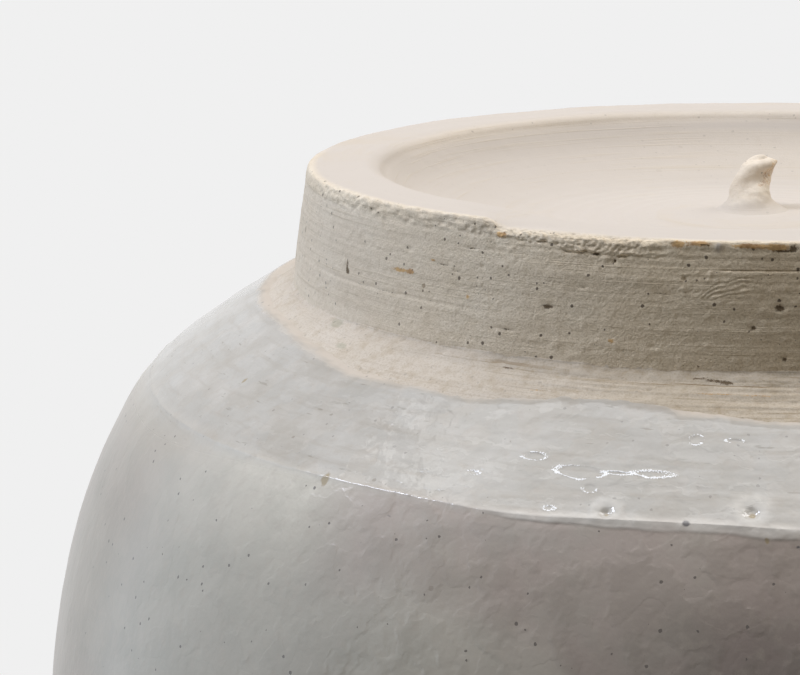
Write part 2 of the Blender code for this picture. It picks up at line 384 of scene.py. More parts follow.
# %% Foot ring: bitten and crumbling rim
def move_out(piece, depth):
    """Move every vertex along its normal by its depth in millimetres."""
    mesh = piece.data
    normals = np.array([normal.vector for normal in mesh.vertex_normals])
    spots = np.empty(len(mesh.vertices) * 3, np.float32)
    mesh.vertices.foreach_get("co", spots)
    spots = spots.reshape(-1, 3) + normals * depth[:, None] * MM
    mesh.vertices.foreach_set("co", spots.astype(np.float32).ravel())
    mesh.update()


rim = smooth(33.9, 34.7, radius) * smooth(79.0, 79.7, height)
bitten = span(angle, -158, -150, -121, -118)
bites = np.clip(grain(spots + 9, (0.8, 0.8, 0.5)) + 0.8 * grain(spots + 3, 0.32), -0.3, 0.5)
depth -= rim * bites * (0.03 + 0.05 * smooth(-165, -155, angle) * (angle < -60) + 0.08 * bitten)

crumble = span(angle, -119.6, -118.2, -103, -98)
flat = spots * (1, 1, 0)
ragged = 0.16 * grain(flat + 5, 1.1) + 0.14 * grain(flat, 0.40)
band_foot = 79.3 - 0.5 * smooth(-112.0, -109.8, angle) + ragged
band = crumble * smooth(33.9, 34.6, radius) * smooth(-0.06, 0.06, height - band_foot)
lumps = 0.06 * grain(spots, 0.5) + 0.09 * grain(spots + 6, 0.21)
bevel = 0.24 * crumble * smooth(79.4, 80.0, height) * smooth(34.0, 34.8, radius)
depth += band * (0.07 + lumps) - bevel
crack = crumble * on_side * ridge(height, band_foot - 0.08, 0.07) * smooth(-0.2, 0.3, grain(spots + 17, 0.9))
depth -= 0.10 * crack
pink_grain = spot_mask(angle, radius, height, (-93.3, 79.5, 0.24, 0.34))
depth += 0.12 * pink_grain
shown = np.maximum(smooth(70.9, 71.2, height), in_recess)
move_out(foot_ring, depth * shown)
print("foot ring worked: %.2f mm in to %.2f mm out" % ((depth * shown).min(), (depth * shown).max()))

# %% [markdown]
# What a finish can't work out from a place in space is painted: one number per vertex for ochre stains, for
# iron marks together with painted shade in the grooves, scratches and crack, for how worn the clay is and for
# painted light and shade. A painted picture would need the ring unwrapped first.

# %% Foot ring: stains
def paint(piece, name, amount):
    """Keep a number from 0 to 1 on every vertex, for the piece's material to read."""
    layer = piece.data.attributes.new(name, "FLOAT", "POINT")
    amounts = np.zeros(len(piece.data.vertices)) + np.clip(amount, 0, 1)
    layer.data.foreach_set("value", amounts.astype(np.float32))


OCHRE = [(-97.7, 79.60, 0.6, 0.32), (-95.4, 79.70, 1.0, 0.26), (-90.0, 79.58, 1.7, 0.2),
         (-86.9, 79.5, 1.1, 0.3), (-133.4, 76.0, 1.0, 0.19), (-131.4, 76.05, 0.5, 0.24),
         (-118.4, 79.45, 0.7, 0.26), (-74, 79.6, 1.6, 0.2), (-122.4, 75.0, 0.2, 0.2),
         (-104.5, 73.1, 0.3, 0.2), (-128.0, 77.1, 0.3, 0.12)]
IRON = [(-94.8, 79.60, 0.5, 0.08), (-86.5, 79.28, 0.8, 0.10), (-85.3, 79.45, 0.36, 0.30),
        (-144.2, 75.4, 0.15, 0.65), (-143.9, 74.95, 0.26, 0.26), (-86.7, 75.6, 0.44, 0.32),
        (-89.5, 74.3, 0.26, 0.2), (-112, 75.0, 0.5, 0.2), (-106.7, 78.72, 0.4, 0.12),
        (-104.5, 78.35, 0.10, 0.2), (-86.2, 72.3, 0.22, 0.18)]
broken_groove = groove * smooth(-0.3, 0.4, grain(spots + 60, 2.0))
# Painted shade: the grooves, the fine line, the scratches and the crack under the crumbling band are
# darkened, kept with the iron marks.
crease_shade = np.maximum(0.75 * scratches + 0.50 * broken_groove + 0.35 * upper_line, 0.40 * crack)
paint(foot_ring, "ochre", marks_mask(angle, radius, height, OCHRE) * smooth(34.3, 34.8, radius))
paint(foot_ring, "iron_and_crease_shade", np.maximum(marks_mask(angle, radius, height, IRON), crease_shade))
# Painted light on the far inner edge of the land: paler, and with less of the worn tone.
far_edge_light = ridge(radius, 29.2, 0.6) * smooth(0, 15, spots[:, 1])
on_land = span(radius, 26.5, 28.2, 33.9, 34.9) * (1 - 0.3 * far_edge_light)
far_land = smooth(-6, 6, spots[:, 1]) * smooth(79.5, 79.9, height) * smooth(29.0, 30.5, radius)
on_land = np.maximum(on_land, far_land)
smoother = 0.35 * smooth(120, 150, np.abs(angle)) * on_side
recess_wear = in_recess * (1 - 0.25 * smooth(-22, 8, spots[:, 0]))
# Painted light and shade of the ring: a lighter band high on the side, most in front, a lighter stretch on
# the right, and the recess and the far edge as above.
front_share = span(angle, -128, -112, *BACK_FADE)
upper_band_light = on_side * smooth(77.0, 77.8, height) * (0.05 + 0.08 * front_share)
right_band_light = 0.11 * on_side * ridge(height, 76.8, 0.8) * span(angle, -106, -90, *RIGHT_FADE)
paint(foot_ring, "painted_light_and_shade", 0.5 + upper_band_light + right_band_light + in_recess * recess_painted_light(spots) + 0.07 * far_edge_light)
paint(foot_ring, "worn", np.maximum.reduce((on_land, recess_wear, pink_grain, smoother)))
print("ring stains: %d ochre, %d iron" % (len(OCHRE), len(IRON)))

# %% [markdown]
# ## The clay wall
# Almost all of the thrown wall is hidden by glaze. Only its base shows, as the pale floor inside the foot
# ring, so that is where the fine spacing goes. The floor was cut by a tool moving outwards while the wheel
# turned, which leaves a faint spiral. It is lowest part of the way out and rises a little towards the
# middle.

# %% Clay wall
WALL_TURNS = 300
BELLY_Z = 29.4
HIDDEN_STEP = 3 * MM
floor_face = bend(at(0, 76.2), at(7, 76.2), at(11, RECESS_LOW), at(17.0, RECESS_LOW), MEDIUM)
floor_face += [point for point in dish if point.x < (SEAM_RADIUS + 0.8) * MM]
under_ring = [at(26.0, 76.6), at(27.2, 74.8), at(27.2, 70.8), at(36.2, 70.8)]
clay_side = bend(at(47.05, 63.8), at(49.9, 58.9), at(55.65, 52.2), at(55.65, BELLY_Z), HIDDEN_STEP)
clay_side += bend(at(55.65, BELLY_Z), at(55.65, 18.8), at(54.6, 13.4), at(54.6, 2.7), HIDDEN_STEP)
clay_lip = bend(at(54.6, 2.7), at(54.6, 1.1), at(53.8, 1.1), at(52.5, 1.1), COARSE)
clay_lip += bend(at(52.5, 1.1), at(51.2, 1.1), at(50.4, 1.1), at(50.4, 2.7), COARSE)
clay_inside = bend(at(50.4, 2.7), at(50.3, 12), at(50.15, 19), at(50.15, BELLY_Z), HIDDEN_STEP)
clay_inside += bend(at(50.15, BELLY_Z), at(50.15, 44), at(46.9, 53.3), at(41.75, 58.5), HIDDEN_STEP)
clay_inside += bend(at(41.75, 58.5), at(34.6, 65.6), at(20.9, 66.4), at(0, 66.4), HIDDEN_STEP) + [at(0, 66.4)]
clay_outline = floor_face + under_ring + clay_side + clay_lip + clay_inside
clay_wall = turned_piece("thrown_clay_wall", clay_outline, WALL_TURNS)

spots, angle, radius, height = places_of(clay_wall)
floor_part = smooth(75.0, 75.2, height) * (1 - smooth(25.6, 25.9, radius))
floor_depth = recess_relief(spots, angle, radius) - 0.03 * smooth(-0.5, 0.5, radius - SEAM_RADIUS)
move_out(clay_wall, floor_depth * floor_part)
# Painted light and shade of the recess floor, as on the ring.
paint(clay_wall, "painted_light_and_shade", 0.5 + recess_painted_light(spots) * smooth(10, 22, radius))
paint(clay_wall, "ochre", 0)
paint(clay_wall, "iron_and_crease_shade", 0)
paint(clay_wall, "worn", 1 - 0.25 * smooth(17, 24, radius) * smooth(-22, 8, spots[:, 0]))

# %% [markdown]
# ## The pale collar
# Where the ring meets the shoulder, slip was pressed out and smoothed, then dragged again by the turning
# tool. The collar starts with a ragged edge against the ring, carries long level scratches and slides under
# the glaze below.

# %% Slip collar
sweep = bend(at(36.05, 71.55), at(36.15, 71.3), at(36.5, 71.2), at(36.9, 71.02), FINE)
sweep += line(at(36.9, 71.02), at(41.4, 68.35), FINE)
toe = bend(at(41.4, 68.35), at(42.0, 67.95), at(42.2, 67.6), at(42.0, 67.25), MEDIUM)
bed = [at(42.0, 67.25), at(36.6, 70.5), at(35.9, 70.8), at(35.8, 71.3), at(36.05, 71.55)]
collar = turned_piece("pale_slip_collar", sweep + toe + bed, FOOT_TURNS)
spots, angle, radius, height = places_of(collar)
front = near(angle, FRONT_ANGLE, 58) & (height - 67.5 > 0.62 * (42.2 - radius) - 0.5)
spots, angle, radius, height = finer(collar, front)

along_turn = np.column_stack((spots[:, 0], spots[:, 1], height - 0.6 * radius))
shown = span(radius, 35.9, 36.2, 41.4, 41.9) * smooth(67.6, 68.0, height)
dragged = span(angle, -125, -100, -60, -20)
strokes = 0.05 * grain(along_turn, (9, 9, 0.30)) + 0.05 * grain(along_turn + 5, (22, 22, 0.7))
strokes *= 0.25 + 0.75 * dragged
strokes += dragged * (0.06 * grain(along_turn + 2, (8, 8, 0.20)) + 0.05 * grain(spots + 13, 0.55))
top_edge = ridge(height, 71.15, 0.35) * (0.12 * grain(spots, (2.5, 2.5, 9)) + 0.08 * grain(spots + 4, 0.8))
depth = strokes + top_edge + 0.06 * grain(spots, 4.0) + 0.02 * grain(spots, 0.5)
move_out(collar, depth * shown)

# %% [markdown]
# In the corner under the ring the slip is darker, partly a darker slip and partly painted shade, and on the
# front it carries painted shade. Dragged threads, nicks and thin tan lines show where the tool went over it,
# and two small puddles of it dried grey on the left.

# %% Slip collar: paint
DRAGS = [(-93, 70.85, 4.0, 0.5), (-88, 70.3, 5.0, 0.6), (-116, 70.9, 2.6, 0.4), (-104, 70.7, 3.0, 0.5),
         (-80, 70.6, 4.0, 0.6), (-124, 71.2, 2.0, 0.3)]
PUDDLES = [(-144.2, 71.2, 1.0, 0.30), (-139.0, 70.3, 0.9, 0.22)]
paint(collar, "drag", 0.12 + 0.26 * dragged + 0.65 * marks_mask(angle, radius, height, DRAGS))
# Painted shade: darker in the corner under the ring and on the front.
root_shade = (1 - smooth(36.3, 37.7, radius)) * (0.35 + 0.65 * span(angle, -140, -118, *BACK_FADE))
front_shade = 0.07 * span(angle, -125, -108, *BACK_FADE)
paint(collar, "painted_light_and_shade", 0.52 - front_shade - 0.20 * root_shade)
NICKS = [(-95.0, 71.10, 0.9, 0.06), (-93.4, 71.00, 0.9, 0.08), (-92.0, 70.90, 0.7, 0.12),
         (-115.5, 70.9, 0.7, 0.06)]
TAN_LINES = [(-93.6, 70.36, 1.9, 0.06), (-89.0, 70.33, 2.0, 0.06), (-111.0, 70.0, 0.8, 0.06)]
paint(collar, "ochre", 0.62 * marks_mask(angle, radius, height, TAN_LINES))
paint(collar, "iron_and_crease_shade", 0.8 * marks_mask(angle, radius, height, NICKS))
paint(collar, "worn", 0)
paint(collar, "puddle", marks_mask(angle, radius, height, PUDDLES))
print("collar marks: %d drags, %d nicks, %d tan lines" % (len(DRAGS), len(NICKS), len(TAN_LINES)))

# %% [markdown]
# ## The twist of clay in the foot
# When the tool left the middle of the foot it pulled up a small twist of clay: a low lump, then a tongue
# that leans over to the right. It is drawn up from a circle by extruding, shrinking and shifting the ring
# step by step, as one would by hand. Each step is a half width, a height over the floor and a shift to the
# right. It also leans back.

# %% Foot peak
PEAK_STEPS = [(4.4, -0.10, 0.0), (3.3, 0.28, 0.1), (2.6, 0.60, 0.1), (2.1, 1.05, 0.0), (1.85, 1.45, -0.05),
              (1.65, 1.82, -0.1), (1.5, 2.20, -0.05), (1.45, 2.55, 0.08), (1.45, 2.90, 0.2),
              (1.55, 3.27, 0.4), (1.65, 3.62, 0.6), (1.65, 3.92, 0.8), (1.25, 4.12, 1.05),
              (0.55, 4.20, 1.25)]
PEAK_TURN = math.radians(18)
PEAK_LEAN = 0.7
PEAK_FOOT_Z = 75.7
PEAK_DEPTH_SHARE = 0.985
bpy.ops.object.select_all(action="DESELECT")
first_width, first_climb, _ = PEAK_STEPS[0]
bpy.ops.mesh.primitive_circle_add(vertices=20, radius=first_width * MM, location=(0, 0, 0))
peak = bpy.context.object
peak.name = "twisted_foot_peak"
bpy.ops.object.mode_set(mode="EDIT")
bpy.ops.mesh.select_all(action="SELECT")
bpy.ops.transform.translate(value=(0, 0, (PEAK_FOOT_Z + first_climb) * MM))
for before, after in zip(PEAK_STEPS, PEAK_STEPS[1:]):
    old_width, old_climb, old_shift = before
    width, climb, shift = after
    rise = climb - old_climb
    step = ((shift - old_shift) * MM, PEAK_LEAN * rise * MM, rise * MM)
    middle = (shift * MM, PEAK_LEAN * climb * MM, (PEAK_FOOT_Z + climb) * MM)
    share = width / old_width
    bpy.ops.mesh.extrude_region_move(TRANSFORM_OT_translate={"value": step})
    bpy.ops.transform.resize(value=(share, share * PEAK_DEPTH_SHARE, 1), center_override=middle)
    bpy.ops.transform.rotate(value=PEAK_TURN, orient_axis="Z", center_override=middle)
bpy.ops.mesh.edge_face_add()
bpy.ops.mesh.select_all(action="DESELECT")
bpy.ops.mesh.select_non_manifold()
bpy.ops.mesh.edge_face_add()
bpy.ops.mesh.select_all(action="SELECT")
bpy.ops.mesh.normals_make_consistent(inside=False)
bpy.ops.object.mode_set(mode="OBJECT")
soften = peak.modifiers.new("Soften", "SUBSURF")
soften.levels = 3
soften.render_levels = 3
bpy.ops.object.modifier_apply(modifier="Soften")
bpy.ops.object.shade_smooth()
print("foot peak: drawn up in %d steps" % (len(PEAK_STEPS) - 1))

# %% [markdown]
# The twist runs round the tongue like a thread. It is worked out from the height and from the bearing about
# the leaning middle line. The right side is stained with ochre, and the top carries painted light.

# %% Foot peak: twist and paint
spots, _, _, height = places_of(peak)
lift = smooth(PEAK_FOOT_Z + 0.5, PEAK_FOOT_Z + 1.3, height)
climb = height - PEAK_FOOT_Z
_, climbs, shifts = zip(*PEAK_STEPS)
middle_x = np.interp(climb, climbs, shifts)
bearing = np.arctan2(spots[:, 1] - PEAK_LEAN * climb, spots[:, 0] - middle_x)
twist = np.sin(2 * bearing - 2.4 * height + 0.6)
move_out(peak, lift * (0.15 * twist + 0.09 * grain(spots, 1.0) + 0.05 * grain(spots, 0.45)))
right_side = smooth(77.6, 78.1, height) * smooth(-0.2, 0.6, spots[:, 0] - 0.6 * (height - 77.6))
# Painted light: the top of the tongue is lighter.
paint(peak, "painted_light_and_shade", 0.5 + 0.12 * smooth(77.4, 78.2, height))
paint(peak, "ochre", 0.42 * right_side)
paint(peak, "iron_and_crease_shade", 0)
paint(peak, "worn", 0.9 - 0.4 * smooth(76.4, 77.4, height))
print("foot peak: %d vertices, top %.2f mm above the lip" % (len(peak.data.vertices), height.max()))

# %% [markdown]
# ## The glaze
# The glaze was a milky suspension that ran and pooled. It thins out to nothing near the foot, runs in small
# ripples over the shoulder, hangs in a thick white roll along the hip and lies thinner and greyer on the
# wall. The coat is a closed shell: its free face is finely spaced, and its face on the clay is plain. Where
# two coats meet, a point very close to the corner keeps the shading flat beside it, so that the joint shows
# no dark line.

# %% Outer glaze
GLAZE_TURNS = 400
HIP_RADIUS = 47.85
HIP_Z = 64.6
HIP = at(HIP_RADIUS, HIP_Z)
HIP_ANGLE = math.radians(59.5)
HIP_REACH = 5.71 * MM
BAND_Z = 8.1
LIP_OUT = 55.7
CORNER = 0.06
SHOULDER_STEP = 0.34 * MM
WALL_STEP = 0.62 * MM
BACK_STEP = 5 * MM
hip_slope = Vector((math.cos(HIP_ANGLE), -math.sin(HIP_ANGLE))) * HIP_REACH
shoulder = line(at(37.5, 70.91), HIP, SHOULDER_STEP)
belly = at(56.75, BELLY_Z)
wall = bend(HIP, HIP + hip_slope, belly + at(0, 22.8), belly, WALL_STEP)
wall += bend(belly, belly - at(0, 10.6), at(LIP_OUT, BAND_Z + 5), at(LIP_OUT, BAND_Z), 1.6 * MM)
wall += [at(LIP_OUT, BAND_Z + CORNER), at(LIP_OUT, BAND_Z)]
backing = bend(at(54.9, BAND_Z), at(54.9, 13.4), at(55.95, 18.8), at(55.95, BELLY_Z), 6 * MM)
backing += bend(at(55.95, BELLY_Z), at(55.95, 52.4), at(50.2, 59.1), at(47.3, 64.0), BACK_STEP)
backing += [at(47.3, 64.0), at(37.4, 70.25), at(37.5, 70.91)]
outer_glaze = turned_piece("milky_outer_glaze", shoulder + wall + backing, GLAZE_TURNS)

spots, angle, radius, height = places_of(outer_glaze)
front = near(angle, -118, 60) & (height > 62.4)
spots, angle, radius, height = finer(outer_glaze, front)
middle_part = near(angle, -103, 26) & (height > 63.5) & (radius > 43)
spots, angle, radius, height = finer(outer_glaze, middle_part)
near_hip = near(angle, -95, 8) & (height > 64.2) & (radius > 46.2)
near_dimples = near(angle, -101, 9) & (radius > 43.2) & (radius < 46.0) & (height > 64.2)
near_small = near(angle, -92.6, 3.2) & (radius > 41.1) & (radius < 42.5) & (height > 64.2)
spots, angle, radius, height = finer(outer_glaze, near_hip | near_dimples | near_small)

# %% [markdown]
# The free face of the coat is the one whose normals point outwards or up. Its upper edge lies close to the
# ring on the left, runs lower towards the front and rises once more before the middle. There the coat sinks
# under the slip.

# %% Outer glaze: edge
NEAREST_EDGE = 37.9
facing = np.array([normal.vector for normal in outer_glaze.data.vertex_normals])
outward = (facing[:, 0] * spots[:, 0] + facing[:, 1] * spots[:, 1]) / radius
free = smooth(0.0, 0.3, outward + np.where(height > 64, facing[:, 2], 0))
flat = spots * (1, 1, 0)
edge_radius = NEAREST_EDGE + 1.75 * smooth(-158, -124, angle) - 1.0 * ridge(angle, -104, 8)
edge_radius += 0.6 * smooth(-95, -82, angle) - 2.2 * smooth(-45, 100, angle)
edge_radius += 0.25 * grain(flat, 4.0) + 0.15 * grain(flat, 1.3)
edge_radius += 0.10 * grain(flat + 25, 0.5)
from_edge = np.where(height > 64.7, radius - np.maximum(edge_radius, NEAREST_EDGE), 20)
coat = smooth(-1.1, 1.1, from_edge)
on_shoulder = smooth(64.0, 65.0, height)
print("glaze edge: %.1f to %.1f mm from the axis" % (edge_radius.min(), edge_radius.max()))

# %% [markdown]
# Distance past the hip is measured along the surface, down the wall as well as back up the shoulder. The
# white roll hangs there on the right, the hip is rounder on the left, and small ripples run all over the
# coat.

# %% Outer glaze: hip roll and ripples
WALL_RUN = 1.16
SHOULDER_RUN = 1.17
hip_wave = 0.20 * grain(flat, 6.0) + 0.10 * grain(flat, 2.0)
below_hip = (HIP_Z - height) * WALL_RUN
past_hip = np.where(height < HIP_Z, below_hip, (radius - HIP_RADIUS) * SHOULDER_RUN) + hip_wave
left_part = 1 - span(angle, -134, -116, *BACK_FADE)
roll_size = span(angle, -112, -97, *BACK_FADE)
roll_top = 0.15 + 0.30 * grain(flat + 70, 1.7)
roll_foot = past_hip / (0.35 + 0.65 * roll_size)
roll = smooth(roll_top - 0.7, roll_top + 0.1, past_hip) * (1 - smooth(0.5, 0.75, roll_foot))
roll *= smooth(0.0, 0.3, roll_size) * (0.85 + 0.4 * grain(flat + 20, 3.0))
far_left = 1 - span(angle, -156, -130, *BACK_FADE)
rounding = (0.04 + 0.08 * left_part + 0.20 * far_left) * ridge(past_hip, 0, 1.5)
rounding -= 0.08 * far_left * ridge(np.abs(past_hip), 3.2, 1.6)
along_turn = np.column_stack((spots[:, 0], spots[:, 1], height - 0.6 * radius))
ripple = 0.03 * grain(spots, (3.2, 3.2, 2.0)) + 0.02 * grain(along_turn, (5.0, 5.0, 0.55))
peel = 0.05 * grain(spots, 6.5) + 0.03 * grain(spots, 2.2)
peel += 0.03 * grain(spots, 0.7) * ridge(past_hip, 0, 0.6)
fuller = 0.4 * ridge(around(angle, 158), 0, 30) * on_shoulder * (1 - smooth(42, 46, radius))
depth = fuller * coat - rounding - 0.62 * (1 - coat) + 0.05 * roll
depth += ripple * coat * (0.4 + 0.6 * on_shoulder) + peel
print("coat relief: %.2f mm in to %.2f mm out" % (depth.min(), depth.max()))

# %% [markdown]
# The wall isn't one grey. It carries painted shade well below the hip, least in front and most on the right,
# and pink comes through high on the front and on the left edge. Both are functions, because the lip and the
# inside share them.

# %% Outer glaze: shade and blush
def low_shade(angle):
    """Painted shade of the wall well below the hip: least in front, most on the right."""
    corner = span(angle, -99, -88, *RIGHT_FADE)
    edge = 1 - span(angle, -156, -130, *BACK_FADE)
    return 0.12 - 0.17 * ridge(angle, -108, 8) + 0.16 * corner + 0.04 * edge


def blush_of(spots, angle, height):
    """Where pink comes through the glaze: high on the front and on the left edge."""
    warm = (0.7 * smooth(-128, -117, angle) + 0.3 * smooth(-104, -90, angle)) * (1 - smooth(-50, 0, angle))
    cool_below = 59.3 - 1.0 * smooth(-112, -104, angle) - 9.0 * smooth(-104, -97, angle)
    cool_below += 4.0 * smooth(-95, -87, angle) + 1.2 * grain(spots + 90, 4.0)
    warm *= 0.25 + 0.75 * smooth(cool_below - 2.4, cool_below + 1.6, height)
    warm += 0.4 * span(angle, -180, -166, -150, -130)
    return warm * (0.85 + 0.5 * grain(spots, 9.0)) + 0.25 * grain(spots + 50, 14.0)


print("wall at the front: darker by %.2f" % low_shade(FRONT_ANGLE))

# %% [markdown]
# Two bubbles burst on the hip while the glaze was soft and left craters with thick rims. Above them the
# coat sank into shallow dimples with crinkled outlines. A crater is an angle, a radius and a size. A dimple
# is an angle, a radius, a half width, a half height and how much of its outline is missing at the upper
# right.

# %% Outer glaze: craters and dimples
SLOPE_OUT = 0.86
SLOPE_DOWN = 0.51


def sag_down(piece, amount):
    """Move every vertex out from the axis and down, along the slope of the shoulder, by millimetres."""
    mesh = piece.data
    spots, _, radius, _ = places_of(piece)
    outwards = spots[:, :2] / np.maximum(radius, 0.001)[:, None]
    spots[:, :2] += SLOPE_OUT * amount[:, None] * outwards
    spots[:, 2] -= SLOPE_DOWN * amount
    mesh.vertices.foreach_set("co", (spots * MM).astype(np.float32).ravel())
    mesh.update()


CRATERS = [(-100.4, 47.35, 0.85), (-89.5, 46.9, 1.1)]
DIMPLES = [(-103.4, 44.75, 1.70, 0.50, 0.8), (-97.4, 44.50, 1.35, 0.24, 0.2),
           (-107.9, 43.9, 0.75, 0.32, 0.2), (-104.9, 47.3, 0.40, 0.16, 0.0),
           (-102.2, 45.9, 0.42, 0.28, 0.6), (-100.3, 44.62, 0.9, 0.12, 0.0), (-94.3, 41.8, 0.50, 0.38, 0.0),
           (-91.0, 41.8, 0.55, 0.14, 0.0), (-112.5, 45.6, 0.5, 0.16, 0.2)]
crater_hole = angle * 0
halo = angle * 0
for middle, crater_radius, crater_size in CRATERS:
    across = np.radians(around(angle, middle)) * radius
    away = np.hypot(across, (radius - crater_radius) * 1.15) / crater_size + 0.12 * grain(spots, 0.6)
    depth += on_shoulder * (0.05 * ridge(away, 0.95, 0.38) - 0.22 * ridge(away, 0, 0.36))
    hole = np.hypot(across * 1.3, radius - crater_radius - 0.12) / (0.32 * crater_size)
    crater_hole = np.maximum(crater_hole, 0.66 * on_shoulder * ridge(hole, 0.0, 1.0))
    ragged_away = away + 0.30 * grain(spots + 15, 0.5)
    halo = np.maximum(halo, 0.5 * on_shoulder * (1 - smooth(0.8, 1.5, ragged_away)))
# The crinkled outlines of the dimples are also where the finish paints glints.
crinkle_and_glint = angle * 0
for middle, dimple_radius, half_width, half_height, open_top in DIMPLES:
    across = np.radians(around(angle, middle)) * radius / half_width
    away = np.hypot(across, (radius - dimple_radius) / half_height) + 0.22 * grain(spots, 0.9)
    depth -= on_shoulder * 0.03 * (1 - smooth(0.6, 1.2, away))
    top_side = smooth(-0.2, 0.6, (dimple_radius - radius) / half_height) * smooth(-0.5, 0.1, across)
    broken = smooth(-0.45, 0.0, grain(spots + 33, 1.1)) * (1 - open_top * top_side)
    thickness = 0.045 + 0.06 * smooth(-0.1, 0.5, grain(spots + 21, 1.2))
    crinkle_and_glint = np.maximum(crinkle_and_glint, on_shoulder * broken * ridge(away, 1.0, thickness / half_height))
move_out(outer_glaze, depth * free)
hip_sag = 0.40 * ridge(angle, -108, 8) + 0.35 * ridge(angle, -86, 5)
sag_down(outer_glaze, hip_sag * ridge(past_hip, 0.3, 1.6) * free)
print("glaze marks: %d craters, %d dimples" % (len(CRATERS), len(DIMPLES)))

# %% [markdown]
# The coat keeps a number per vertex for each thing that its finish has to know: how milky it is towards its
# edge, where the roll, the shoulder and the crinkled outlines with their painted glints are, its painted
# light and shade, and where it is tan, dark or pink.

# %% Outer glaze: paint
TAN_SPOTS = [(-125.2, 64.40, 0.40, 0.50), (-146.3, 67.4, 0.36, 0.26), (-88.4, 63.9, 0.2, 0.25),
             (-138, 60.5, 0.22, 0.16)]
DARK_SPOTS = [(-94.3, 64.55, 0.38, 0.22), (-117.8, 63.2, 0.14, 0.12), (-99.6, 60.1, 0.2, 0.2),
              (-86.2, 63.6, 0.2, 0.16)]
tan_spots = marks_mask(angle, radius, height, TAN_SPOTS)
left_edge = 1 - span(angle, -136, -116, *BACK_FADE)
paint(outer_glaze, "milk", smooth(-0.7 + 0.4 * left_edge, 1.2 + 0.6 * left_edge, from_edge))
hanging = 0.28 * ridge(angle, -107, 10) * ridge(past_hip, 1.2, 1.5) * (1 - on_shoulder)
# The roll is thick white glaze, and its pale colour is partly painted light on a band that gets little light;
# the crater rims and the glaze hanging under the hip are white glaze.
paint(outer_glaze, "roll", np.maximum.reduce((0.75 * roll, halo, hanging)) * free)
soft_shoulder = smooth(64.0 - 1.6 * far_left, 65.0 + 1.2 * far_left, height)
paint(outer_glaze, "shoulder", soft_shoulder)
# Painted light and shade: lighter just under the hip and in a glow on the left of the shoulder, darker low on
# the wall and on the right slope of the shoulder.
below = np.maximum(past_hip, 0)
under_hip_light = 0.50 * np.exp(-below / 2.9) * (1 - 0.9 * far_left) * (1 - 0.35 * ridge(angle, -141, 7))
under_hip_light += 0.10 * ridge(angle, -107, 9) * np.exp(-below / 2.0)
low_wall_shade = smooth(3.5, 8.5, below) * low_shade(angle)
right_slope_shade = 0.10 * span(angle, -116, -100, *RIGHT_FADE) * smooth(39.4, 42.4, radius)
left_painted_glow = 0.08 * ridge(angle, -120, 5) * smooth(42.5, 45.5, radius)
painted_light_and_shade = 0.5 + (1 - soft_shoulder) * (under_hip_light - low_wall_shade) + on_shoulder * (left_painted_glow - right_slope_shade)
paint(outer_glaze, "painted_light_and_shade", painted_light_and_shade)
paint(outer_glaze, "crinkle_and_glint", crinkle_and_glint * free)
paint(outer_glaze, "tan", np.maximum(tan_spots, crater_hole) * free)
paint(outer_glaze, "dark", marks_mask(angle, radius, height, DARK_SPOTS))
paint(outer_glaze, "blush", blush_of(spots, angle, height))
print("outer glaze worked: %d vertices" % len(spots))

# %% [markdown]
# ## The lip and the inside
# The bowl stands on its lip, so these two coats are seen only from below or when it is turned over. The lip
# is a round band of glaze. The inside keeps the soft spiral that the potter's fingers left as the wall was
# pulled up.

# %% Lip glaze
LIP_TURNS = 300
LIP_IN = 49.3
LIP_ROUND = 2.5
LIP_STEP = 0.8 * MM
ROUND_STEP = 0.3 * MM
lip_out = [at(LIP_OUT, BAND_Z)] + line(at(LIP_OUT, BAND_Z - CORNER), at(LIP_OUT, LIP_ROUND), LIP_STEP)
lip_out += bend(at(LIP_OUT, LIP_ROUND), at(LIP_OUT, 0.8), at(54.6, 0.0), at(53.2, 0.0), ROUND_STEP)
lip_in = bend(at(51.8, 0.0), at(50.4, 0.0), at(LIP_IN, 0.8), at(LIP_IN, LIP_ROUND), ROUND_STEP)
lip_in += line(at(LIP_IN, LIP_ROUND), at(LIP_IN, BAND_Z), LIP_STEP)
lip_in += [at(LIP_IN, BAND_Z - CORNER), at(LIP_IN, BAND_Z)]
lip_back = [at(50.1, BAND_Z), at(50.1, 2.6), at(51.1, 1.0), at(52.5, 0.8), at(53.9, 1.0), at(54.9, 2.6)]
lip_back += [at(54.9, BAND_Z), at(LIP_OUT, BAND_Z)]
lip_glaze = turned_piece("milky_lip_glaze", lip_out + [at(53.2, 0.0)] + lip_in + lip_back, LIP_TURNS)

# %% [markdown]
# The coat inside is a shell too. Its free face looks into the bowl, and its back lies on the clay.

# %% Inner glaze
INSIDE_TURNS = 360
LINING_STEP = 0.9 * MM
lining = [at(LIP_IN, BAND_Z)]
lining += bend(at(LIP_IN, BAND_Z + CORNER), at(49.2, 15), at(49.05, 19), at(49.05, BELLY_Z), LINING_STEP)
lining += bend(at(49.05, BELLY_Z), at(49.05, 43.7), at(46.0, 52.6), at(40.98, 57.7), LINING_STEP)
lining += bend(at(40.98, 57.7), at(34.0, 64.6), at(20.5, 65.3), at(0, 65.3), LINING_STEP)
lining += [at(0, 65.3)]
liner_back = bend(at(0, 66.1), at(20.7, 66.1), at(34.4, 65.3), at(41.54, 58.3), BACK_STEP)
liner_back += bend(at(41.54, 58.3), at(46.7, 53.1), at(49.85, 43.9), at(49.85, BELLY_Z), BACK_STEP)
liner_back += bend(at(49.85, BELLY_Z), at(49.85, 19), at(50.1, 15), at(50.1, BAND_Z), BACK_STEP)
liner_back += [at(50.1, BAND_Z)]
inner_glaze = turned_piece("milky_inner_glaze", liner_back + lining, INSIDE_TURNS)

